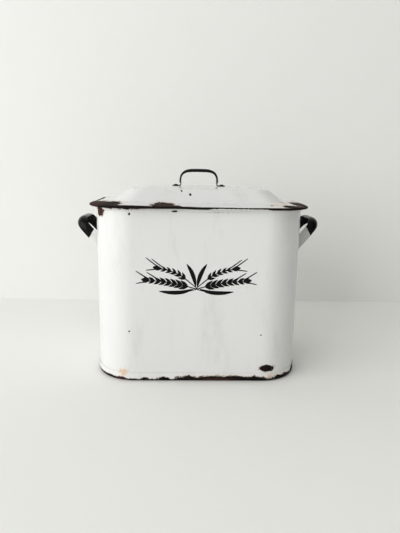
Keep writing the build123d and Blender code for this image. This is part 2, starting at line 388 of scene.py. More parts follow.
def black_enamel(name):
    """Thick glossy black with a few rubbed and rusty places."""
    shader = Shader(name)
    finish, fine = shader.finish, shader.noise(420.0, 3.0, 0.6)
    chip = shader.noise(140.0, 5.0, 0.75).ramp(0.66, 0.72) * shader.noise(45.0, 2.0, 0.5).ramp(0.48, 0.60)
    tint = shader.blend(chip * 0.9, finish.black, finish.rust)
    normal = shader.bump(shader.noise(170.0, 2.0, 0.4) * 0.3 + (1.0 - chip), 0.0002)
    return shader.close(shader.surface(tint, 0.12 + fine * 0.07 + chip * 0.5, normal, BLACK_SHINE))


def two_tone(name):
    """White at the roots, the right handle's white darkened as painted shade, and black over the grip. The
    brushed edge runs through two points on each side.
    """
    shader = Shader(name)
    finish, fine = shader.finish, shader.noise(420.0, 3.0, 0.6)
    halves = []
    for upper, lower in PAINT_EDGES:
        side, long = math.copysign(1.0, upper[0]), math.dist(upper, lower)
        out, up = (upper[1] - lower[1]) / long, (lower[0] - upper[0]) / long
        past = (shader.x - upper[0]) * out * side + (shader.z - upper[1]) * up * side
        halves.append(past * (shader.x * side).ramp(0.0, 0.001))
    black = halves[0] + halves[1] + (shader.noise(120.0, 2.0, 0.5) - 0.5) * 0.002
    black = black.ramp(-0.0004, 0.0006)
    chip = shader.noise(95.0, 5.0, 0.75).ramp(0.68, 0.74) * shader.noise(30.0, 2.0, 0.5).ramp(0.5, 0.6)
    # Random dirt on the white, plus painted shade: all of the right handle's white (x > 0) is darkened, as if
    # it stood in the bin's shadow.
    dirt_and_painted_shade = shader.noise(60.0, 4.0, 0.6).ramp(0.4, 0.8) * 0.25 + shader.x.ramp(0.0, 0.01) * 0.55
    white = shader.blend(dirt_and_painted_shade, finish.white, (0.30, 0.29, 0.27))
    normal = shader.bump(shader.noise(150.0, 2.0, 0.4) * 0.3 + (1.0 - chip) + black * 0.5, 0.0002)
    pale = shader.surface(shader.blend(chip, white, finish.rust), 0.18 + fine * 0.08, normal)
    dark = shader.blend(chip * 0.8, finish.black, finish.rust)
    dark = shader.surface(dark, 0.10 + fine * 0.06 + chip * 0.5, normal, BLACK_SHINE)
    return shader.close(shader.either(black, pale, dark))


def steel(name):
    """Drawn wire, partly rusted."""
    shader = Shader(name)
    dull = shader.noise(60.0, 4.0, 0.7).ramp(0.45, 0.7)
    tint = shader.blend(dull, shader.finish.steel, shader.finish.rust)
    normal = shader.bump(shader.noise(900.0, 3.0, 0.6), 0.00005)
    return shader.close(shader.surface(tint, 0.35 + dull * 0.4, normal, metallic=1.0 - dull))


def plaster(name, base, one_sided=False):
    """Pale paint, a little uneven. The one-sided wall isn't seen, and casts nothing, from behind."""
    shader = Shader(name)
    tint = shader.blend(shader.noise(2.2, 4.0, 0.55) * 0.12, base, (0.66, 0.65, 0.62))
    paint = shader.surface(tint, 0.55, shader.bump(shader.noise(60.0, 4.0, 0.6), 0.0003), shine=0.3)
    if one_sided:
        behind = shader.node("ShaderNodeNewGeometry", out="Backfacing")
        paint = shader.either(behind, paint, shader.node("ShaderNodeBsdfTransparent"))
    return shader.close(paint)


# ---------------------------------------------------------------- mesh helpers

LONG_STEPS, SHORT_STEPS, CORNER_STEPS = 64, 40, 22
FILLET_STEPS = 6
SQUARE = math.pi / 2


def arc(centre, radius, start, end, count):
    """Points on an arc from one angle to another, both included."""
    return [(centre[0] + radius * math.cos(t), centre[1] + radius * math.sin(t))
            for t in np.linspace(start, end, count)]


def rounded_ring(length, depth, corner):
    """Points round a rounded rectangle, anticlockwise, the same number for every size."""
    half_x, half_y = length / 2 - corner, depth / 2 - corner
    centres = [(half_x, half_y), (-half_x, half_y), (-half_x, -half_y), (half_x, -half_y)]
    bends = [np.array(arc(centre, corner, k * SQUARE, (k + 1) * SQUARE, CORNER_STEPS + 1))
             for k, centre in enumerate(centres)]
    points = []
    for bend, following, steps in zip(bends, bends[1:] + bends[:1], (LONG_STEPS, SHORT_STEPS) * 2):
        share = np.linspace(0, 1, steps + 1)[1:-1, None]
        points += [bend, bend[-1] + (following[0] - bend[-1]) * share]
    return np.vstack(points)


def filleted(points, radii):
    """An open run of points with its inner corners rounded."""
    points = [np.array(p, float) for p in points]
    run = [points[0]]
    for before, here, after, radius in zip(points, points[1:], points[2:], radii):
        one, two = before - here, after - here
        one, two = one / np.linalg.norm(one), two / np.linalg.norm(two)
        half = math.acos(np.clip(one @ two, -1, 1)) / 2
        if radius <= 0 or half > SQUARE - 1e-4:
            run.append(here)
            continue
        middle = here + (one + two) / np.linalg.norm(one + two) * radius / math.sin(half)
        start, end = (here + way * radius / math.tan(half) for way in (one, two))
        for share in np.linspace(0, 1, FILLET_STEPS + 1):
            chord = start + (end - start) * share - middle
            run.append(middle + chord / np.linalg.norm(chord) * radius)
    run.append(points[-1])
    return run


def spread(run, longest=0.004):
    """Add points where a run's points are far apart."""
    result = [run[0]]
    for one, two in zip(run, run[1:]):
        parts = max(1, math.ceil(math.dist(one, two) / longest))
        result += [np.array(one) + (np.array(two) - np.array(one)) * k / parts for k in range(1, parts + 1)]
    return result


def mesh_piece(name, verts, steps, *rest):
    """A finished piece from rings of steps points each, joined by quads and capped at both ends."""
    last = len(verts) - steps
    faces = []
    for low in range(0, last, steps):
        high = low + steps
        faces += [(low + k, low + (k + 1) % steps, high + (k + 1) % steps, high + k) for k in range(steps)]
    faces += [tuple(range(steps)), tuple(range(last, last + steps))]
    return finished_piece(name, raw_mesh(name, verts, faces=faces), *rest)


def finished_piece(name, mesh, material, body, slot, *replaces):
    """Merge, turn the faces outwards, smooth, and hand the piece to its body."""
    shape = bmesh.new()
    shape.from_mesh(mesh)
    bmesh.ops.remove_doubles(shape, verts=shape.verts, dist=1e-6)
    bmesh.ops.recalc_face_normals(shape, faces=shape.faces)
    for face in shape.faces:
        face.smooth = True
    shape.to_mesh(mesh)
    shape.free()
    mesh.materials.clear()
    mesh.materials.append(material)
    mesh.update()
    piece = bpy.data.objects.new(name, mesh)
    bpy.context.scene.collection.objects.link(piece)
    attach(piece, body)
    if replaces:
        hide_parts(*replaces)
    return piece


def baked(obj):
    """The evaluated mesh of an object, which is then removed."""
    graph = bpy.context.evaluated_depsgraph_get()
    graph.update()
    mesh = bpy.data.meshes.new_from_object(obj.evaluated_get(graph))
    bpy.data.objects.remove(obj)
    return mesh


def raw_mesh(name, verts, edges=(), faces=()):
    """A mesh from plain lists."""
    mesh = bpy.data.meshes.new(name)
    mesh.from_pydata(verts, edges, faces)
    return mesh


def scratch_object(name, data):
    """An object for data, in the scene."""
    obj = bpy.data.objects.new(name, data)
    bpy.context.scene.collection.objects.link(obj)
    return obj


def lie_on(mesh, ground, towards, nominal):
    """Shift a piece's points along Y, so that it follows the real surface under it."""
    tree = BVHTree.FromPolygons([v.co for v in ground.vertices], [p.vertices for p in ground.polygons])
    for vert in mesh.vertices:
        start = Vector((vert.co.x, -towards * (nominal + 0.05), vert.co.z))
        hit = tree.ray_cast(start, Vector((0, towards, 0)))[0]
        if hit is not None:
            vert.co.y += hit.y + towards * nominal
    mesh.update()


def lid_heights(lid):
    """Heights of the lid's edge, dome foot, shoulder and top."""
    top = LID_HIGH.z
    shoulder = top - lid.crown_rise
    foot = shoulder - lid.slope_rise
    return foot - lid.flange_rise, foot, shoulder, top


# ---------------------------------------------------------------- geometry nodes

def wall_tree():
    """Sweeps a wall section round a rounded rectangle and lets it wave in and out a little."""
    weave = Weave("wall sweep", ("Length", "Depth", "Corner", "Step", "Dent", "Low", "High"))
    length, depth, corner, stride, dent, low, high = weave.values
    outline = weave.step("CurvePrimitiveQuadrilateral", {"Width": length, "Height": depth})
    outline = weave.step("FilletCurve", {0: outline, "Count": 24, "Radius": corner}, mode="POLY")
    outline = weave.step("ResampleCurve", {0: outline, "Length": stride}, mode="LENGTH")
    outline = weave.step("SetCurveNormal", {0: outline}, mode="Z_UP")
    section = weave.step("MeshToCurve", {0: weave.geometry})
    wall = weave.step("CurveToMesh", {0: outline, "Profile Curve": section})
    place = weave.step("InputPosition")
    core = weave.combined(length * 0.5 - corner, depth * 0.5 - corner)
    flat = weave.vector("MULTIPLY", place, (1.0, 1.0, 0.0))
    nearest = weave.vector("MAXIMUM", flat, weave.vector("MULTIPLY", core, (-1.0, -1.0, 0.0)))
    nearest = weave.vector("MINIMUM", nearest, core)
    outward = weave.vector("NORMALIZE", weave.vector("SUBTRACT", flat, nearest))
    wave = weave.noise_at(place, 9.0, 1.5, 0.45)
    height = weave.split(place)[2]
    fade = height.ramp(low, low + 0.05) * height.ramp(high - 0.06, high, 1.0, 0.0)
    push = (wave - 0.5) * fade * (dent * 2.0)
    offset = weave.node("ShaderNodeVectorMath", {0: outward, "Scale": push}, operation="SCALE")
    return weave.close(weave.step("SetPosition", {0: wall, "Offset": offset}))


def rivet_tree():
    """A domed head, and a flattened tail behind it, at each point; the turn is from pointing up."""
    weave = Weave("rivets", ("Radius", "Grip"), Turn="Rotation")
    radius, grip, turn = weave.values
    domes = []
    for flatten, sink in ((0.44, 0.0), (0.30, -1.0)):
        ball = weave.step("MeshUVSphere", {"Segments": 20, "Rings": 12, "Radius": radius})
        sunk = weave.combined(0.0, 0.0, grip * sink)
        feeds = {0: ball, "Translation": sunk, "Scale": (1.0, 1.0, flatten)}
        domes.append(weave.step("Transform", feeds))
    feeds = {0: weave.geometry, "Instance": weave.joined(domes), "Rotation": turn}
    return weave.close(weave.step("InstanceOnPoints", feeds))


def stroke_tree():
    """Brush strokes along the edges of a mesh: thick in the middle, pointed at both ends, nearly flat."""
    weave = Weave("brush strokes", ("Width", "Blunt", "Flatten"))
    width, blunt, flatten = weave.values
    curve = weave.step("MeshToCurve", {0: weave.geometry})
    curve = weave.step("ResampleCurve", {0: curve, "Count": 40}, mode="COUNT")
    share = weave.step("SplineParameter")
    radius = ((share * 4.0 * (1.0 - share)) ** blunt + 0.04) * width
    curve = weave.step("SetCurveRadius", {0: curve, "Radius": radius})
    ring = weave.step("CurvePrimitiveCircle", {"Resolution": 12, "Radius": 0.5}, mode="RADIUS")
    feeds = {0: curve, "Profile Curve": ring, "Scale": radius, "Fill Caps": True}
    stroke = weave.step("CurveToMesh", feeds)
    flat = weave.combined(1.0, flatten, 1.0)
    return weave.close(weave.step("Transform", {0: stroke, "Scale": flat}))


def ear_tree():
    """Pairs of pointed grains up a stem that lies in the XZ plane, smaller towards the tip."""
    weave = Weave("grain ear", ("Grain", "Relief"), Pairs="Int")
    length, relief, pairs = weave.values
    stem = weave.step("MeshToCurve", {0: weave.geometry})
    stem = weave.step("ResampleCurve", {0: stem, "Count": pairs}, mode="COUNT")
    share, along = weave.step("SplineParameter"), weave.step("InputTangent")
    kept = []
    for name, kind, value in (("share", "FLOAT", share), ("along", "FLOAT_VECTOR", along)):
        feeds = {0: stem, "Name": name, "Value": value}
        stem = weave.step("StoreNamedAttribute", feeds, data_type=kind, domain="POINT")
        kept.append(weave.step("InputNamedAttribute", {"Name": name}, data_type=kind))
    points = weave.step("CurveToPoints", {0: stem}, mode="EVALUATED")
    ball = weave.step("MeshUVSphere", {"Segments": 16, "Rings": 12, "Radius": 0.5})
    spot = weave.step("InputPosition")
    up = weave.split(spot)[2]
    slim = weave.vector("MULTIPLY", spot, weave.combined(0.36 - abs(up) * 0.30 - up * 0.16, 1.0, 1.0))
    grain = weave.step("SetPosition", {0: ball, "Position": slim})
    grain = weave.step("Transform", {0: grain, "Translation": (0.0, 0.0, 0.45)})
    size = length * (1.0 - kept[0] * 0.30)
    scale = weave.combined(size, relief * 2.0, size)
    turn = weave.node("FunctionNodeAlignRotationToVector", {"Vector": kept[1]}, axis="Z")
    sides = []
    for lean in (-0.50, 0.50):
        feeds = {0: turn, 1: (0.0, lean, 0.0)}
        leaning = weave.node("FunctionNodeRotateRotation", feeds, rotation_space="LOCAL")
        feeds = {0: points, "Instance": grain, "Rotation": leaning, "Scale": scale}
        sides.append(weave.step("InstanceOnPoints", feeds))
    return weave.close(weave.joined(sides))


# ---------------------------------------------------------------- straps

STRAP_ACROSS = 12
LOOP_STEPS = 18
SIDE_POWER, TOP_POWER = 5, 4.2
LEG_STARTS = 0.25


def gutter_row(centre, across, outward, half_width, bow):
    """Points across a strap that is bowed like a gutter."""
    if bow < 1e-5:
        share = np.linspace(-1, 1, STRAP_ACROSS + 1)
        return [centre + across * half_width * k for k in share]
    radius = (half_width ** 2 + bow ** 2) / (2 * bow)
    limit = math.asin(min(half_width / radius, 1))
    if bow > half_width:
        limit = math.pi - limit
    return [centre + across * radius * math.sin(t) + outward * (radius * math.cos(t) - radius + bow)
            for t in np.linspace(-limit, limit, STRAP_ACROSS + 1)]


def loop_rows(span, reach, half_span, height, leg, grip, power):
    """Rows over a loop from its middle to the top of one leg, as (centre, outward, half width, bow).

    A higher power makes the loop squarer.
    """
    rows = []
    for step in range(LOOP_STEPS + 1):
        turn = SQUARE * (1 - step / LOOP_STEPS)
        u, v = math.cos(turn) ** (2 / power), math.sin(turn) ** (2 / power)
        if v < LEG_STARTS:
            break
        outward = span * u ** (power - 1) / half_span + reach * v ** (power - 1) / height
        outward = outward / np.linalg.norm(outward)
        swell = math.sin(turn)
        width = leg[0] + (grip[0] - leg[0]) * swell ** 5
        bow = leg[1] + (grip[1] - leg[1]) * swell ** 3
        rows.append((span * u * half_span + reach * v * height, outward, width / 2, bow))
    return rows


def strap_piece(name, half_rows, mirror, outward, thickness, *rest):
    """A strap from its rows on one side of the middle, mirrored to the other, thickened and rounded.

    outward is the way out of the loop at the middle of the grip.
    """
    rows = [[point * mirror for point in row] for row in half_rows[:0:-1]] + half_rows
    steps = STRAP_ACROSS + 1
    faces = [(a, a + 1, a + 1 + steps, a + steps)
             for row in range(len(rows) - 1) for a in range(row * steps, row * steps + STRAP_ACROSS)]
    mesh = raw_mesh(name, [tuple(p) for row in rows for p in row], faces=faces)
    shape = bmesh.new()
    shape.from_mesh(mesh)
    grip = Vector(half_rows[0][STRAP_ACROSS // 2])
    crown = min(shape.faces, key=lambda face: (face.calc_center_median() - grip).length)
    if crown.normal.dot(Vector(outward)) < 0:
        bmesh.ops.reverse_faces(shape, faces=shape.faces)
    shape.to_mesh(mesh)
    shape.free()
    obj = scratch_object(name + "_rough", mesh)
    wall = obj.modifiers.new("thickness", "SOLIDIFY")
    wall.thickness, wall.offset, wall.use_even_offset = thickness, -1.0, True
    smooth = obj.modifiers.new("round", "SUBSURF")
    smooth.levels = smooth.render_levels = 2
    return finished_piece(name, baked(obj), *rest)


# ---------------------------------------------------------------- the painted sprigs

# Paths in metres, right and up from the middle of the pair. The left half is their mirror image.
# EAR_START is where along its stem an ear begins. AWN is a bristle, along and across the ear.
LONG_STEM = ((-0.011, -0.0205), (0.006, -0.0150), (0.024, -0.0105), (0.046, -0.0065), (0.070, -0.0040))
SHORT_STEM = ((-0.002, -0.0170), (0.011, -0.0060), (0.025, 0.0045), (0.040, 0.0105), (0.053, 0.0135))
LEAVES = (
    ((0.001, -0.0140), (0.0035, -0.002), (0.0080, 0.0100), (0.0150, 0.0215)),
    ((0.004, -0.0165), (0.0200, -0.0215), (0.0380, -0.0225), (0.0560, -0.0205)))
EAR_START = 0.34
AWN = ((0.0, 0.0), (0.012, 0.0045), (0.026, 0.012))


def curve_through(path, side):
    """A smooth line through the points of a path, mirrored for the left side."""
    path = np.array(path) * (side, 1)
    knots = np.vstack([2 * path[0] - path[1], path, 2 * path[-1] - path[-2]])
    line = []
    for step in np.linspace(0, len(path) - 1, 49):
        k = min(int(step), len(path) - 2)
        t = step - k
        a, b, c, d = knots[k:k + 4]
        line.append(0.5 * (2 * b + (c - a) * t + (2 * a - 5 * b + 4 * c - d) * t ** 2
                           + (3 * b - a - 3 * c + d) * t ** 3))
    return np.array(line)


# ---------------------------------------------------------------- the room and the places of wear

ROOM, BACK = 3.0, 0.344
WINDOW_PLACE, WINDOW_TARGET = (-3.10, -2.25, 1.35), (0.0, 0.0, 0.14)
WINDOW_SIZE, WINDOW_POWER = (4.2, 3.2), 122.0
CAMERA_PLACE = (0.0044, -0.7917, 0.3248)
CAMERA_TURN, CAMERA_PITCH, CAMERA_ROLL = 1.675, 11.90, 0.989
SENSOR = 36.0
LENS = SENSOR * 474.1 / 533.0

# Two points on the edge between white and black at each side handle, as (x, z).
PAINT_EDGES = (((0.1738, 0.2301), (0.1802, 0.2182)), ((-0.165, 0.226), (-0.1725, 0.2131)))

# Chips, stains and rusty places on each piece: ovals, each with its centre and then its radii.
MM = 0.001
WALL_MARKS = (
    [(107.2, -109, 21.3, 12.2, 12, 5.6),
     (-147, -84, 259, 8.5, 14, 9),
     (-36.6, -110.5, 261.5, 4.5, 6, 1.4),
     (-101.6, -110.5, 256.7, 1.6, 4, 1.8),
     (-103.9, -110, 79.9, 1.1, 4, 1.1),
     (95.5, -110, 75.7, 1.2, 4, 1.2)],
    [(-114, -108, 16, 9, 10, 6)],
    [(-147, -84, 259, 20, 30, 20)])
BASE_MARKS = (
    [(-14, -112, 1, 24, 20, 8),
     (22, -112, 1, 30, 20, 8.4),
     (54, -112, 1, 30, 20, 8.4),
     (86, -112, 1, 30, 20, 7.8),
     (133, -96, 1, 30, 30, 7.8),
     (156, -62, 6, 11, 34, 8.5),
     (-53, -112, 0.5, 12, 14, 6.2),
     (-80, -112, 0.5, 9, 14, 5.5),
     (-117, -108, 3, 8, 10, 3.4)],
    [(-114.2, -108, 11.2, 10, 12, 6),
     (115, -108, 7, 12, 12, 6)],
    [(30, -112, 1, 30, 14, 5),
     (-117, -108, 3, 12, 20, 10)])
LID_MARKS = (
    [(-158, -72, 268, 19, 33, 10),
     (-141, -92, 268, 28, 26, 10),
     (-54, -108, 269, 17.5, 24, 10),
     (-38, -117, 269, 11, 8, 10),
     (159, -56, 268, 19, 48, 10),
     (138, -100, 268, 17, 15, 10),
     (105.7, -97.1, 270.7, 2.2, 3, 4),
     (-27.3, -63.6, 288.2, 1.5, 2.2, 3),
     (-14, -70.2, 283.1, 1.8, 2.6, 3)],
    [(112, -93, 271, 14, 12, 8),
     (130, -72, 271, 16, 20, 8)],
    [(-158, -70, 269, 26, 45, 10),
     (-48, -108, 269, 26, 10, 5),
     (154, -70, 269.5, 16, 40, 4)])


# ---------------------------------------------------------------- operators

class BinOperator(Operator):
    """Shared by the operators that make one group of pieces"""
    bl_options = {"REGISTER", "UNDO"}

    def execute(self, context):
        self.make(context.scene.bread_bin)
        return {"FINISHED"}


class BREADBIN_OT_body_wall(BinOperator):
    """Make the wall with its folded rim and the lap seam up its back"""
    bl_idname = "bread_bin.body_wall"
    bl_label = "Body Wall"

    def make(self, sizes):
        body = sizes.body
        low, high, sheet, proud = body.foot, body.rim, body.sheet, body.hem_proud
        curl, hem = (proud + sheet) / 2, high - body.hem
        levels = np.arange(low, hem - 0.003, 0.006)
        fold = [(0.0, hem - 0.0004), (0.0, hem), (proud, hem), (proud, hem + 0.002)]
        section = [(0.0, z) for z in levels] + filleted(fold, [0.0002, 0.0008])
        section += arc((proud - curl, high - curl), curl, 0, math.pi, 13)
        section += [(-sheet, z) for z in levels[::-1]]
        count = len(section)
        edges = [(k, (k + 1) % count) for k in range(count)]
        mesh = raw_mesh("section", [(out, -z, 0.0) for out, z in section], edges)
        paint = enamel("white_enamel_wall", *WALL_MARKS, wall_wear_and_shadow(body))
        swept = wall_tree().grow(scratch_object("wall_section", mesh), {
            "Length": body.length, "Depth": body.depth, "Corner": body.corner, "Step": 0.003,
            "Dent": body.dent, "Low": body.skirt, "High": hem, "Material": paint})
        wall = finished_piece("wall", swept, paint, "bin", "white_enamel", "body_wall")
        self.lap_seam(body, paint, wall)

    def lap_seam(self, body, paint, wall):
        """A flat strip up the back with feathered edges, lying on the wall."""
        half, proud = body.lap / 2, 0.0005
        edge = [(half, -0.0002), (half - 0.0006, proud * 0.7), (half - 0.0016, proud)]
        across = [(-x, y) for x, y in edge] + [(0.0, proud)] + edge[::-1]
        run = np.linspace(body.skirt + 0.001, body.rim - body.hem - 0.001, 60)
        verts = [(x, body.depth / 2 + y, z) for z in run for x, y in across]
        lap = mesh_piece("back_lap", verts, len(across), paint, "bin", "white_enamel")
        lie_on(lap.data, wall.data, -1, body.depth / 2)


class BREADBIN_OT_base_pan(BinOperator):
    """Make the pressed base with its skirt, foot ring and raised floor"""
    bl_idname = "bread_bin.base_pan"
    bl_label = "Base Pan"

    def make(self, sizes):
        body = sizes.body
        out = PAN_HIGH.x - body.length / 2
        sheet, skirt, ring, lift = body.sheet, body.skirt, body.ring, body.floor_lift
        top, bend, curl = lift + sheet, body.pan_bend, sheet / 2
        under = [(0.075, lift), (ring + sheet, lift), (ring + sheet, 0.0), (0.0, 0.0), (0.0, skirt - curl)]
        inside = [(sheet, skirt - curl), (sheet, sheet), (ring, sheet), (ring, top), (0.075, top)]
        run = [(0.10, lift), (0.09, lift)] + filleted(under, [0.0011, 0.0004, bend])
        run += arc((curl, skirt - curl), curl, math.pi - 0.3, 0.3, 6)
        run += filleted(inside, [bend - sheet, 0.0006, 0.002]) + [(0.09, top), (0.10, top)]
        verts = []
        for inset, z in run:
            grow = 2 * (out - inset)
            corner = min(max(body.corner + out - inset, 0.008), (body.depth + grow) / 2 - 0.001)
            verts += [(x, y, z) for x, y in rounded_ring(body.length + grow, body.depth + grow, corner)]
        paint = enamel("white_enamel_base", *BASE_MARKS, base_wear_and_shadow(body))
        mesh_piece("base", verts, len(verts) // len(run), paint, "bin", "white_enamel", "base_pan")


class BREADBIN_OT_lid(BinOperator):
    """Make the domed lid with its curled edge"""
    bl_idname = "bread_bin.lid"
    bl_label = "Lid"

    def make(self, sizes):
        body, lid = sizes.body, sizes.lid
        edge, foot, shoulder, top = lid_heights(lid)
        bead, sheet = lid.bead, body.sheet
        at_foot, at_shoulder = lid.flange, lid.flange + lid.slope
        at_crown = at_shoulder + lid.crown
        plan = [(bead, edge), (at_foot, foot), (at_shoulder, shoulder)]
        plan += [(at_crown, top), (at_crown + 0.006, top)]
        radii = [0.008, 0.012, 0.060]
        upper = spread(filleted(plan, radii))
        lower = spread(filleted([(inset, z - sheet) for inset, z in plan], radii))
        centre = [(at_crown + 0.020, top), (at_crown + 0.027, top)]
        run = centre[::-1] + upper[::-1]
        run += arc((bead, edge - bead), bead, SQUARE + 0.3, 2 * math.pi - 0.2, 16)
        run += [(inset, z) for inset, z in lower if inset > 2 * bead + 0.0002]
        run += [(inset, z - sheet) for inset, z in centre]
        stations = [0, at_foot, at_shoulder, at_crown, at_crown + 0.030]
        corners = [body.corner + lid.overhang, lid.foot_corner, lid.shoulder_corner, lid.top_corner, 0.001]
        verts = []
        for inset, z in run:
            grow = 2 * (lid.overhang - inset)
            corner = min(float(np.interp(inset, stations, corners)), (body.depth + grow) / 2 - 0.0005)
            ring = rounded_ring(body.length + grow, body.depth + grow, corner)
            turn = np.arctan2(ring[:, 1] / body.depth, ring[:, 0] / body.length)
            bend = 0.6 * np.sin(3 * turn + 0.7) + 0.5 * np.sin(7 * turn + 2.1) + 0.25 * np.sin(17 * turn)
            bend *= lid.waver * max(0.0, 1.0 - inset / at_foot)
            verts += [(x, y, z + dz) for (x, y), dz in zip(ring, bend)]
        paint = enamel("white_enamel_lid", *LID_MARKS, lid_wear(body, lid), 0.18)
        mesh_piece("lid_dome", verts, len(verts) // len(run), paint, "lid", "white_enamel", "lid_pan")


class BREADBIN_OT_side_handles(BinOperator):
    """Make the two side handles: black grips with white roots"""
    bl_idname = "bread_bin.side_handles"
    bl_label = "Side Handles"

    def make(self, sizes):
        part = sizes.handles
        paint = two_tone("two_tone_enamel")
        for name, side in (("right", 1), ("left", -1)):
            tilt, length = (getattr(part, name + size) for size in ("_tilt", "_reach"))
            origin = np.array((side * sizes.body.length / 2, 0.0, part.root))
            reach = np.array((side * math.cos(tilt), 0.0, math.sin(tilt)))
            across = np.array((side * math.sin(tilt), 0.0, -math.cos(tilt)))
            leg, grip = (part.leg_width, part.leg_bow), (part.grip_width, part.grip_bow)
            loop = loop_rows(np.array((0.0, 1.0, 0.0)), reach, part.half_span, length, leg, grip, SIDE_POWER)
            rows = [gutter_row(origin + centre, across, *rest) for centre, *rest in loop]
            rows += self.leg_rows(part, side, tilt, origin, loop[-1][0])
            strap_piece("side_grip_" + name, rows, np.array((1, -1, 1)), reach, part.strap,
                        paint, "bin", "black_enamel", "handle_" + name)

    def leg_rows(self, part, side, tilt, origin, start):
        """Down the leg, round the bend at the wall and along the tab."""
        half, bend, corner = part.leg_width / 2, 0.0026, 0.004
        start_reach, end_reach = start[2] / math.sin(tilt), bend / math.cos(tilt)
        share = np.linspace(-1, 1, STRAP_ACROSS + 1)
        rows = []
        for k in np.linspace(0, 1, 12)[1:]:
            reach = start_reach + (end_reach - start_reach) * k - k * half * share * math.tan(tilt)
            x = origin[0] + side * (reach * math.cos(tilt) + half * share * math.sin(tilt))
            z = origin[2] + reach * math.sin(tilt) - half * share * math.cos(tilt)
            y = part.half_span + part.leg_bow * (1 - k ** 4) * (1 - share ** 2)
            rows.append([np.array(p) for p in zip(x, y, z)])
        tall = half / math.cos(tilt)
        height = origin[2] + end_reach * math.sin(tilt)
        first, last = part.half_span - bend, part.half_span - part.strap - part.tab + corner
        flat = [(out, part.half_span + inward, height, tall)
                for out, inward in arc((bend, -bend), bend, SQUARE, math.pi, 6)[1:]]
        flat += [(0.0, first + (last - first) * k, height + (origin[2] - height) * k, tall)
                 for k in np.linspace(0, 1, 7)[1:]]
        flat += [(0.0, y, origin[2], short)
                 for y, short in arc((last, tall - corner), corner, SQUARE, math.pi, 6)[1:]]
        return rows + [[np.array((origin[0] + side * out, y, z - half_width * k)) for k in share]
                       for out, y, z, half_width in flat]


class BREADBIN_OT_lid_handle(BinOperator):
    """Make the black strap handle on the lid"""
    bl_idname = "bread_bin.lid_handle"
    bl_label = "Lid Handle"

    def make(self, sizes):
        part = sizes.handles
        base = np.array((0.0, 0.0, LID_HIGH.z))
        span, reach, across = np.array((1.0, 0, 0)), np.array((0, 0, 1.0)), np.array((0, -1.0, 0))
        height = KNOB_HIGH.z - LID_HIGH.z - part.top_bar_bow
        half, strap, bend, corner = part.top_width / 2, part.strap, 0.0022, 0.004
        leg, bar = (part.top_width, part.top_leg_bow), (part.top_width, part.top_bar_bow)
        loop = loop_rows(span, reach, part.top_half_span, height, leg, bar, TOP_POWER)
        rows = [gutter_row(base + centre, across, *rest) for centre, *rest in loop]
        start, end, tip = loop[-1][0][2], strap + bend, KNOB_HIGH.x - corner
        foot = part.top_half_span + bend
        steps = [(part.top_half_span, start + (end - start) * k, half, part.top_leg_bow * (1 - k ** 2))
                 for k in np.linspace(0, 1, 6)[1:]]
        steps += [(x, z, half, 0.0) for x, z in arc((foot, end), bend, math.pi, math.pi * 1.5, 6)[1:]]
        steps += [(x, strap, half, 0.0) for x in np.linspace(foot, tip, 4)[1:]]
        steps += [(x, strap, wide, 0.0) for x, wide in arc((tip, half - corner), corner, SQUARE, 0, 6)[1:]]
        rows += [gutter_row(base + span * x + reach * z, across, span, wide, bow)
                 for x, z, wide, bow in steps]
        paint = black_enamel("black_enamel_strap")
        strap_piece("lid_strap", rows, np.array((-1, 1, 1)), reach, strap,
                    paint, "lid", "black_enamel", "lid_handle")


class BREADBIN_OT_rivets(BinOperator):
    """Make the rivets of all three handles"""
    bl_idname = "bread_bin.rivets"
    bl_label = "Rivets"

    def make(self, sizes):
        body, part = sizes.body, sizes.handles
        tree = rivet_tree()
        white = enamel("white_enamel_rivet", pits=0.3)
        black = black_enamel("black_enamel_rivet")
        inset = part.half_span - part.strap - part.tab / 2
        proud = part.strap - 0.0001
        for side, name in ((1, "right"), (-1, "left")):
            face = side * (body.length / 2 + proud)
            places = [(face, sy * inset, part.root + sz * part.pitch / 2) for sy in (-1, 1) for sz in (-1, 1)]
            self.rivets(sizes, tree, "rivets_" + name, places, side * SQUARE,
                        white, "bin", "white_enamel", "handle_%s_rivets" % name)
        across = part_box("lid_handle_rivets")[1].x - part.rivet
        places = [(side * across, 0.0, LID_HIGH.z + proud) for side in (-1, 1)]
        self.rivets(sizes, tree, "rivets_lid", places, 0.0,
                    black, "lid", "black_enamel", "lid_handle_rivets")

    def rivets(self, sizes, tree, name, places, turn, paint, *rest):
        """The rivets of one handle, turned about Y from pointing up."""
        part, mesh = sizes.handles, raw_mesh(name, places)
        heads = tree.grow(scratch_object(name + "_points", mesh), {
            "Radius": part.rivet, "Grip": part.strap + sizes.body.sheet, "Turn": (0.0, turn, 0.0),
            "Material": paint})
        finished_piece(name, heads, paint, *rest)


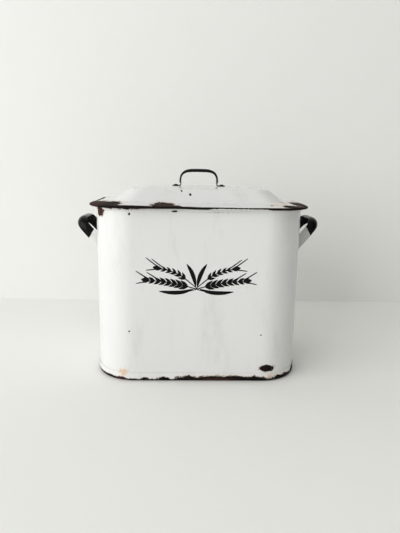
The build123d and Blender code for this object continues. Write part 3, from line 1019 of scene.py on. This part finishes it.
class BREADBIN_OT_front_sprigs(BinOperator):
    """Paint a pair of grain sprigs on the front in black enamel"""
    bl_idname = "bread_bin.front_sprigs"
    bl_label = "Front Sprigs"

    def make(self, sizes):
        body, sprig = sizes.body, sizes.sprig
        paint = black_enamel("black_enamel_sprig")
        stems, blades, long_ears, short_ears = [], [], [], []
        for side in (-1, 1):
            for path, ears in ((LONG_STEM, long_ears), (SHORT_STEM, short_ears)):
                line = curve_through(path, side)
                ear = line[round(len(line) * EAR_START):]
                ears.append(ear)
                ahead = (ear[-1] - ear[-3]) / np.linalg.norm(ear[-1] - ear[-3])
                blades.append([ear[-1] + ahead * sprig.grain * k for k in (0.0, 0.35, 0.8)])
                stems.append(line)
                for root, rise in ((-4, 1.0), (-12, 1.0), (-4, -0.6)):
                    lift = np.array((0, rise))
                    stems.append([ear[root] + ahead * out + lift * up for out, up in AWN])
            blades += [curve_through(path, side) for path in LEAVES]
        strokes, ears, thick = stroke_tree(), ear_tree(), sprig.relief * 2
        pieces = [
            strokes.grow(self.lines(runs), {
                "Width": width, "Blunt": blunt, "Flatten": thick / width, "Material": paint})
            for runs, width, blunt in ((stems, sprig.stem, 0.25), (blades, sprig.leaf, 0.8))]
        pieces += [
            ears.grow(self.lines(runs), {
                "Pairs": pairs, "Grain": sprig.grain * share, "Relief": sprig.relief, "Material": paint})
            for runs, pairs, share in ((long_ears, sprig.pairs, 1.0), (short_ears, sprig.pairs - 2, 0.80))]
        shape = bmesh.new()
        for mesh in pieces:
            shape.from_mesh(mesh)
        mesh = bpy.data.meshes.new("front_sprigs")
        shape.to_mesh(mesh)
        shape.free()
        mesh.transform(Matrix.Diagonal((sprig.size, 1.0, sprig.size, 1.0)))
        mesh.transform(Matrix.Translation((sprig.shift, -body.depth / 2, sprig.height)))
        piece = finished_piece("front_sprigs", mesh, paint, "bin", "black_enamel")
        lie_on(piece.data, bpy.data.objects["wall"].data, 1, body.depth / 2)

    def lines(self, runs):
        """One edge-only mesh in the XZ plane for a list of runs."""
        verts, edges = [], []
        for run in runs:
            edges += [(len(verts) + k, len(verts) + k + 1) for k in range(len(run) - 1)]
            verts += [(x, 0.0, z) for x, z in run]
        return scratch_object("lines", raw_mesh("lines", verts, edges))


class BREADBIN_OT_carried(BinOperator):
    """Finish the collar and the edge wire, whose shapes stay as they are"""
    bl_idname = "bread_bin.carried"
    bl_label = "Collar and Wire"

    def make(self, sizes):
        collar = enamel("white_enamel_collar", wear_and_shade=collar_wear, pits=0.3)
        for node, paint in (("lid_collar", collar), ("lid_edge_wire", steel("bare_steel_wire"))):
            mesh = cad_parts[node].data
            mesh.materials.clear()
            mesh.materials.append(paint)


class BREADBIN_OT_stage(BinOperator):
    """Make the table, the wall behind it, the lamp and the camera"""
    bl_idname = "bread_bin.stage"
    bl_label = "Stage"

    def make(self, sizes):
        table = [(-ROOM, -ROOM, 0), (ROOM, -ROOM, 0), (ROOM, ROOM, 0), (-ROOM, ROOM, 0)]
        wall = [(-ROOM, BACK, 0), (ROOM, BACK, 0), (ROOM, BACK, ROOM), (-ROOM, BACK, ROOM)]
        self.plane("table", table, plaster("table_top", sizes.finish.floor))
        self.plane("backdrop", wall, plaster("backdrop_paint", sizes.finish.wall, one_sided=True))
        self.window()
        self.world()
        self.camera()
        bpy.context.scene.view_settings.view_transform = "Standard"

    def plane(self, name, corners, material):
        """A flat rectangle that belongs to the stage."""
        mesh = raw_mesh(name, corners, faces=[(0, 1, 2, 3)])
        mesh.materials.append(material)
        scratch_object(name, mesh)

    def window(self):
        """A broad soft light from the left, in front and a little above."""
        light = bpy.data.lights.new("window", "AREA")
        light.shape, light.energy = "RECTANGLE", WINDOW_POWER
        light.size, light.size_y = WINDOW_SIZE
        lamp = scratch_object("window", light)
        lamp.location = WINDOW_PLACE
        lamp.rotation_euler = (Vector(WINDOW_TARGET) - lamp.location).to_track_quat("-Z", "Y").to_euler()

    def world(self):
        """Pale room light that is dimmer from the right, away from the window."""
        world = bpy.data.worlds.new("room")
        world.use_nodes = True
        room = Graph(world.node_tree)
        way = room.split(room.node("ShaderNodeTexCoord", out="Generated"))[0]
        seen = room.node("ShaderNodeLightPath", out="Is Camera Ray")
        strength = room.node("ShaderNodeMix", {0: seen, 2: way.ramp(0.10, 0.85, 0.72, 0.10), 3: 0.80})
        light = room.tree.nodes["Background"].inputs
        light["Color"].default_value = (0.985, 0.985, 0.965, 1.0)
        room.tree.links.new(strength.socket, light["Strength"])
        bpy.context.scene.world = world

    def camera(self):
        """Eye level a little above the rim, pitched down, turned and rolled by a degree."""
        data = bpy.data.cameras.new("camera")
        data.lens, data.sensor_width, data.sensor_fit = LENS, SENSOR, "AUTO"
        data.clip_start, data.clip_end = 0.02, 50.0
        camera = scratch_object("camera", data)
        pan = Matrix.Rotation(-math.radians(CAMERA_TURN), 4, "Z")
        tilt = Matrix.Rotation(math.radians(90 - CAMERA_PITCH), 4, "X")
        roll = Matrix.Rotation(math.radians(CAMERA_ROLL), 4, "Z")
        camera.matrix_world = Matrix.Translation(pan @ Vector(CAMERA_PLACE)) @ pan @ tilt @ roll
        bpy.context.scene.camera = camera


# ---------------------------------------------------------------- wear, and painted shadow at the wall's rim and the base's foot

def wall_wear_and_shadow(body):
    """Rubbed and rusty along the folded rim, with painted shadow under the lid's edge that runs the dark band
    further down at the left, and chipped under the fold towards the right.
    """
    def wear_and_shade(shader, ragged):
        x, z = shader.x, shader.z
        left = (-x).ramp(0.030, 0.110)
        # rim: rubbed rust at the top of the wall; the left term lowers it by up to 2.4 mm as painted shadow
        # under the lid's curled edge.
        rim = (z - (body.rim - 0.0012) + left * 0.0024) * 260.0 + ragged * 0.9 - 0.1
        near = abs(x - 0.020).ramp(0.045, 0.030)
        fold = near * 0.55 - abs(z - (body.rim - body.hem)) * 900.0 + ragged * 1.2 - 0.60
        return rim.most(fold)
    return wear_and_shade


def base_wear_and_shadow(body):
    """Rusty where it stands, with painted contact shadow that widens the dark foot band at the left, and here
    and there along the skirt's edge.
    """
    def wear_and_shade(shader, ragged):
        left = (-shader.x).ramp(0.110, 0.135)
        # foot: dark band along the bottom, rust where the bin stands and painted contact shadow, 3.6 mm tall
        # and up to 5.8 mm at the left.
        foot = (0.0036 + left * 0.0022 - shader.z) * 420.0 + ragged * 1.1 - 0.05
        seam = -0.35 - abs(shader.z - body.skirt) * 900.0 + ragged * 1.2
        return foot.most(seam)
    return wear_and_shade


def lid_wear(body, lid):
    """Dark and rusty round the whole curled edge, less so on the right of the front."""
    length, depth = body.length + 2 * lid.overhang, body.depth + 2 * lid.overhang
    middle = lid_heights(lid)[0] - lid.bead

    def wear_and_shade(shader, ragged):
        inside = shader.inside_outline(length, depth, body.corner + lid.overhang)
        wave = shader.noise(14.0, 2.0, 0.5)
        thin = abs(shader.x - 0.058).ramp(0.060, 0.035)
        left = (-shader.x).ramp(0.030, 0.120)
        edge = (0.0016 + wave * 0.0022 + left * wave * 0.0100 - inside) * 420.0 + ragged * 1.1
        above = (shader.z - (middle - 0.0003)) * 900.0 + ragged * 1.2 + (1.0 - thin) * 3.0
        return edge.least(above)
    return wear_and_shade


def collar_wear(shader, ragged):
    """Chipped along the lower edge."""
    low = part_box("lid_collar")[0].z
    return (low + 0.0010 - shader.z) * 500.0 + ragged * 1.1


# ---------------------------------------------------------------- panel and registration

OPERATORS = (
    BREADBIN_OT_body_wall, BREADBIN_OT_base_pan, BREADBIN_OT_lid, BREADBIN_OT_side_handles,
    BREADBIN_OT_lid_handle, BREADBIN_OT_rivets, BREADBIN_OT_front_sprigs, BREADBIN_OT_carried,
    BREADBIN_OT_stage)


class BREADBIN_PT_panel(Panel):
    """Lists the steps in the order in which the bin is made"""
    bl_label = "Bread Bin"
    bl_idname = "BREADBIN_PT_panel"
    bl_space_type = "VIEW_3D"
    bl_region_type = "UI"
    bl_category = "Bread Bin"

    def draw(self, context):
        sizes = context.scene.bread_bin
        for group in ("body", "lid", "handles", "sprig", "finish"):
            box = self.layout.box()
            box.label(text=group.capitalize())
            for key in getattr(sizes, group).__annotations__:
                box.prop(getattr(sizes, group), key)
        for operator in OPERATORS:
            self.layout.operator(operator.bl_idname)


CLASSES = (
    BodySizes, LidSizes, HandleSizes, SprigSizes, Finish, BreadBin, *OPERATORS, BREADBIN_PT_panel)


def register():
    for item in CLASSES:
        bpy.utils.register_class(item)
    bpy.types.Scene.bread_bin = PointerProperty(type=BreadBin)


def unregister():
    del bpy.types.Scene.bread_bin
    for item in reversed(CLASSES):
        bpy.utils.unregister_class(item)


def main():
    register()
    for operator in OPERATORS:
        getattr(bpy.ops.bread_bin, operator.bl_idname.split(".")[1])()


if __name__ == "__main__":
    main()
